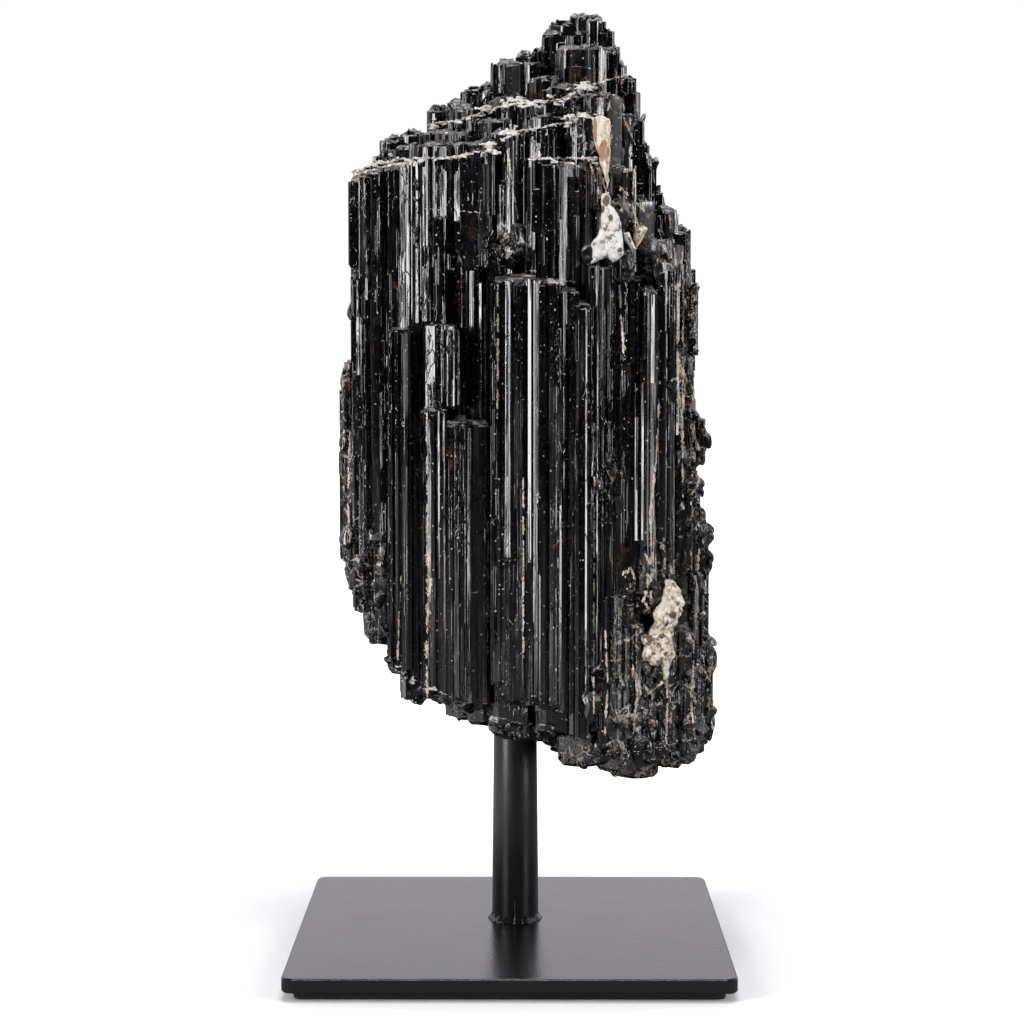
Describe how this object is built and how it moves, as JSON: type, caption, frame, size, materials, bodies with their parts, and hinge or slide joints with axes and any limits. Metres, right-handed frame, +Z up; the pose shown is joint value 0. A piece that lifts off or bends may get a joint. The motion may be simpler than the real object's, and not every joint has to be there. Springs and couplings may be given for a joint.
{
  "type": "black tourmaline specimen on stand",
  "caption": "Column-shaped cluster of ribbed black tourmaline crystals with cream feldspar, drilled and fixed on a round post that is welded to a square black steel plate.",
  "frame": {"origin": "on the table, under the middle of the square plate", "axes": "+Z up along the post and the crystals, -Y towards the side that is shown, +X to its right"},
  "size_m": [0.12, 0.12, 0.266],
  "materials": {
    "tourmaline": "black, glassy on the ribbed faces",
    "white_feldspar": "matt white with cracks",
    "cream_feldspar": "matt cream, pitted",
    "tan_feldspar": "matt tan",
    "powder_coat": "satin black powder coat, finely textured",
    "rubber": "matt black"
  },
  "bodies": {
    "root": {"tourmaline": "tourmaline", "feldspar_upper": "white_feldspar", "feldspar_lower": "cream_feldspar", "feldspar_strip": "tan_feldspar", "post": "powder_coat", "weld_bead": "powder_coat", "base_plate": "powder_coat", "base_pad": "rubber"}
  },
  "joints": []
}
